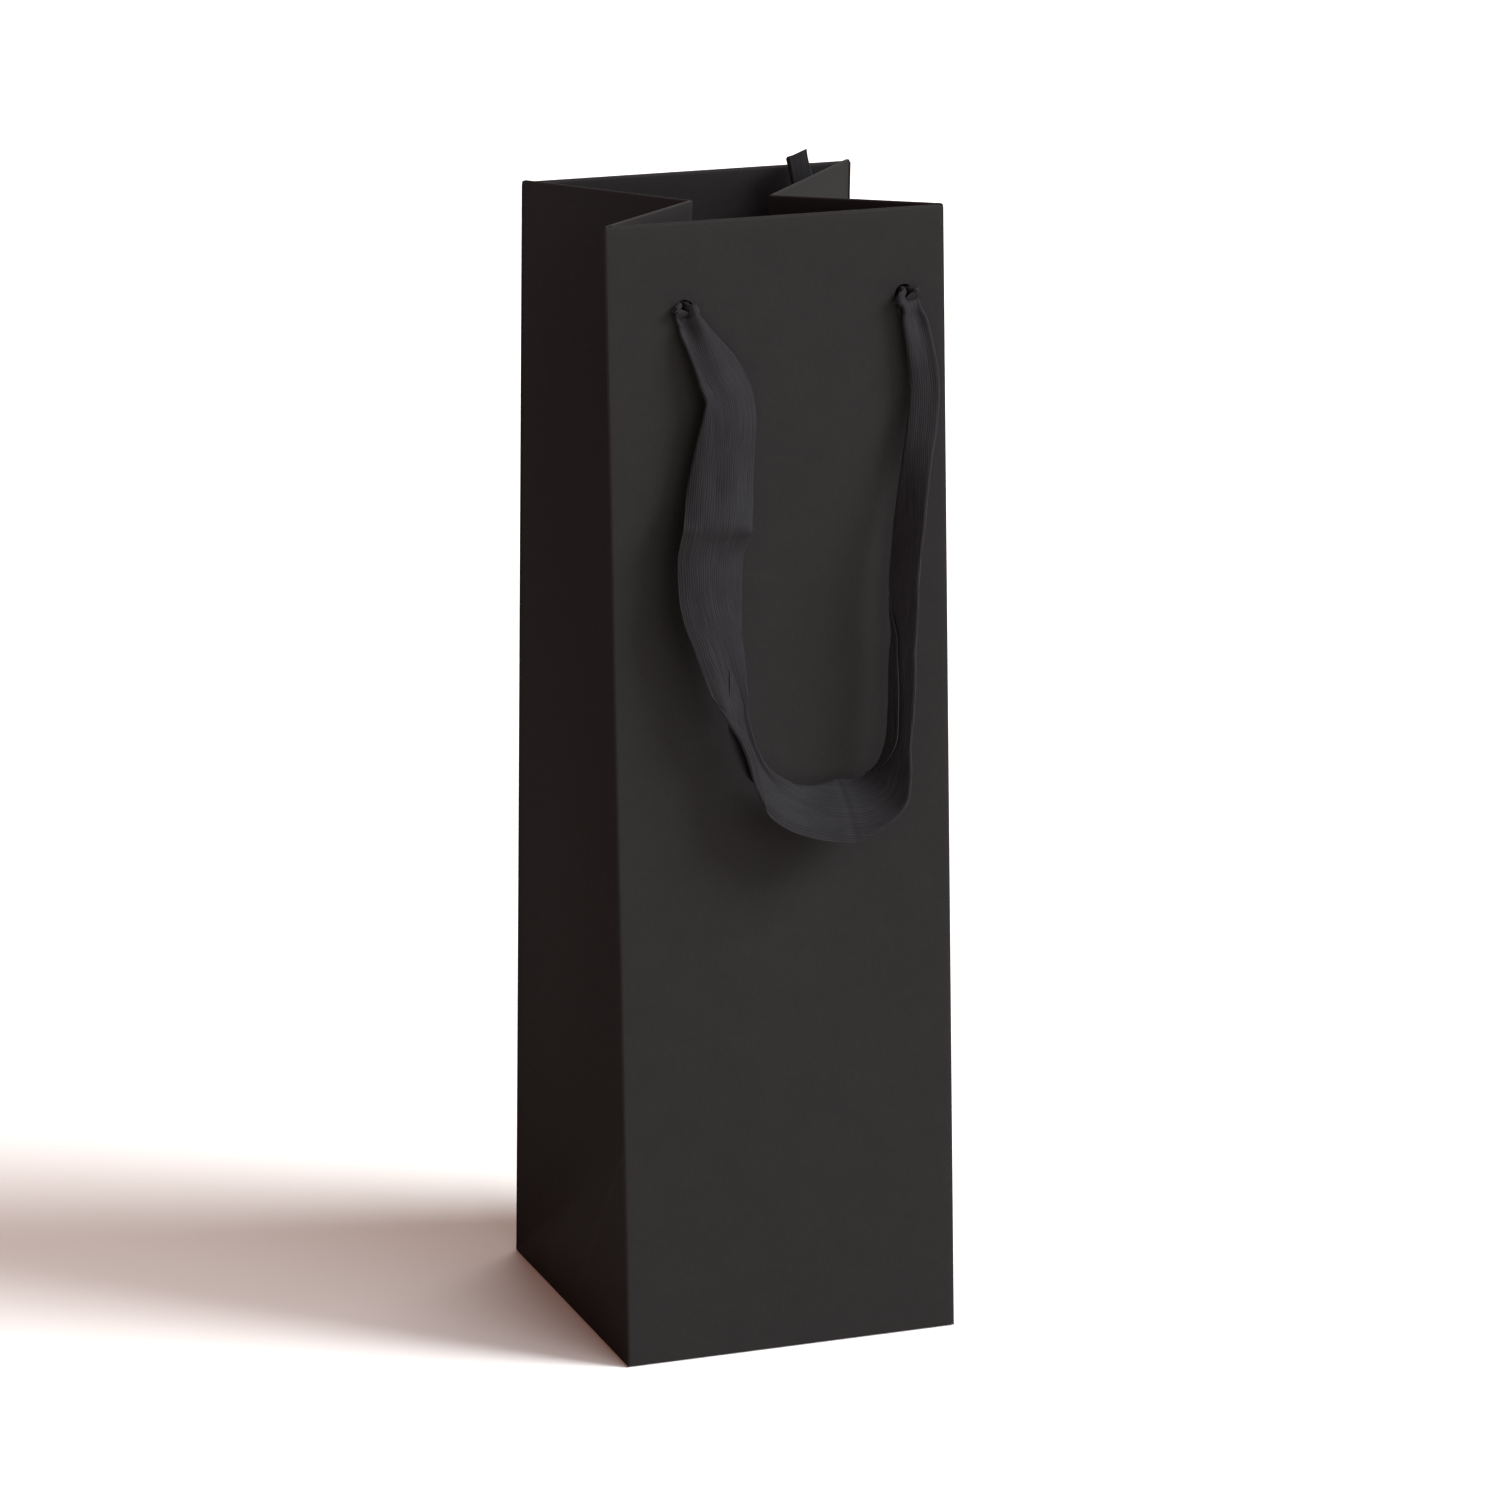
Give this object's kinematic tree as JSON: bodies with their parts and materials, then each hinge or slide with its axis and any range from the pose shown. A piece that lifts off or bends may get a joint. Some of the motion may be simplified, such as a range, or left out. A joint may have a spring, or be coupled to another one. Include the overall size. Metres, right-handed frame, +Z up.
{
  "type": "wine gift bag",
  "caption": "Tall folded paper gift bag for a wine bottle, with pinched side gussets, a loose base board and knotted ribbon handles that swing.",
  "frame": {"origin": "centre of the bottom face, on the surface that the bag stands on", "axes": "+Z up through the mouth; -Y out of the front wall, which carries the front handle; +X to the right as seen from the front"},
  "size_m": [0.1098, 0.115, 0.3624],
  "materials": {
    "paper": "matt charcoal paper with a fine grain",
    "card": "plain grey-brown card",
    "ribbon": "woven charcoal ribbon with a soft lengthwise streak"
  },
  "bodies": {
    "base": {"bottom_flap_front": "paper", "bottom_flap_rear": "paper", "bottom_flap_left": "paper", "bottom_flap_right": "paper", "gusset_foot_left": "paper", "gusset_foot_right": "paper"},
    "front_wall": {"front_wall": "paper", "front_top_hem": "paper", "front_stiffening_card": "card", "front_knot_left": "ribbon", "front_knot_right": "ribbon"},
    "rear_wall": {"rear_wall": "paper", "rear_top_hem": "paper", "rear_stiffening_card": "card", "seam_flap": "paper", "rear_knot_left": "ribbon", "rear_knot_right": "ribbon"},
    "base_board": {"base_board": "card"},
    "front_handle": {"front_handle": "ribbon"},
    "rear_handle": {"rear_handle": "ribbon"},
    "gusset_front_left": {"gusset_front_left": "paper", "gusset_hem_front_left": "paper"},
    "gusset_front_right": {"gusset_front_right": "paper", "gusset_hem_front_right": "paper"},
    "gusset_rear_left": {"gusset_rear_left": "paper", "gusset_hem_rear_left": "paper"},
    "gusset_rear_right": {"gusset_rear_right": "paper", "gusset_hem_rear_right": "paper"}
  },
  "joints": [
    {"name": "gusset_front_left_fold", "type": "hinge", "parent": "base", "child": "gusset_front_left", "pos_m": [-0.055, -0.0575, 0], "axis": [0.0762, 0.0259, 0.9968], "range_deg": [0, 31.14]},
    {"name": "gusset_front_right_fold", "type": "hinge", "parent": "base", "child": "gusset_front_right", "pos_m": [0.055, -0.0575, 0], "axis": [0.0762, -0.0259, -0.9968], "range_deg": [0, 31.14]},
    {"name": "gusset_rear_left_fold", "type": "hinge", "parent": "base", "child": "gusset_rear_left", "pos_m": [-0.055, 0.0575, 0], "axis": [-0.0762, 0.0259, -0.9968], "range_deg": [0, 31.14]},
    {"name": "gusset_rear_right_fold", "type": "hinge", "parent": "base", "child": "gusset_rear_right", "pos_m": [0.055, 0.0575, 0], "axis": [-0.0762, -0.0259, 0.9968], "range_deg": [0, 31.14]},
    {"name": "front_wall_lean", "type": "hinge", "parent": "base", "child": "front_wall", "pos_m": [0, -0.0575, 0], "axis": [1, 0, 0], "range_deg": [0, 2.44]},
    {"name": "rear_wall_lean", "type": "hinge", "parent": "base", "child": "rear_wall", "pos_m": [0, 0.0575, 0], "axis": [-1, 0, 0], "range_deg": [0, 2.44]},
    {"name": "front_handle_swing", "type": "hinge", "parent": "front_wall", "child": "front_handle", "pos_m": [0, -0.04375, 0.33322], "axis": [-1, 0, 0], "range_deg": [0, 170]},
    {"name": "rear_handle_swing", "type": "hinge", "parent": "rear_wall", "child": "rear_handle", "pos_m": [0, 0.04375, 0.33322], "axis": [1, 0, 0], "range_deg": [0, 170]},
    {"name": "base_board_lift", "type": "slide", "parent": "base", "child": "base_board", "axis": [0, 0, 1], "range_m": [0, 0.006]}
  ],
  "couplings": [
    {"joint": "gusset_front_right_fold", "follows": "gusset_front_left_fold", "ratio": 1},
    {"joint": "gusset_rear_left_fold", "follows": "gusset_front_left_fold", "ratio": 1},
    {"joint": "gusset_rear_right_fold", "follows": "gusset_front_left_fold", "ratio": 1},
    {"joint": "front_wall_lean", "follows": "gusset_front_left_fold", "ratio": 0.07808},
    {"joint": "rear_wall_lean", "follows": "gusset_front_left_fold", "ratio": 0.07808}
  ]
}
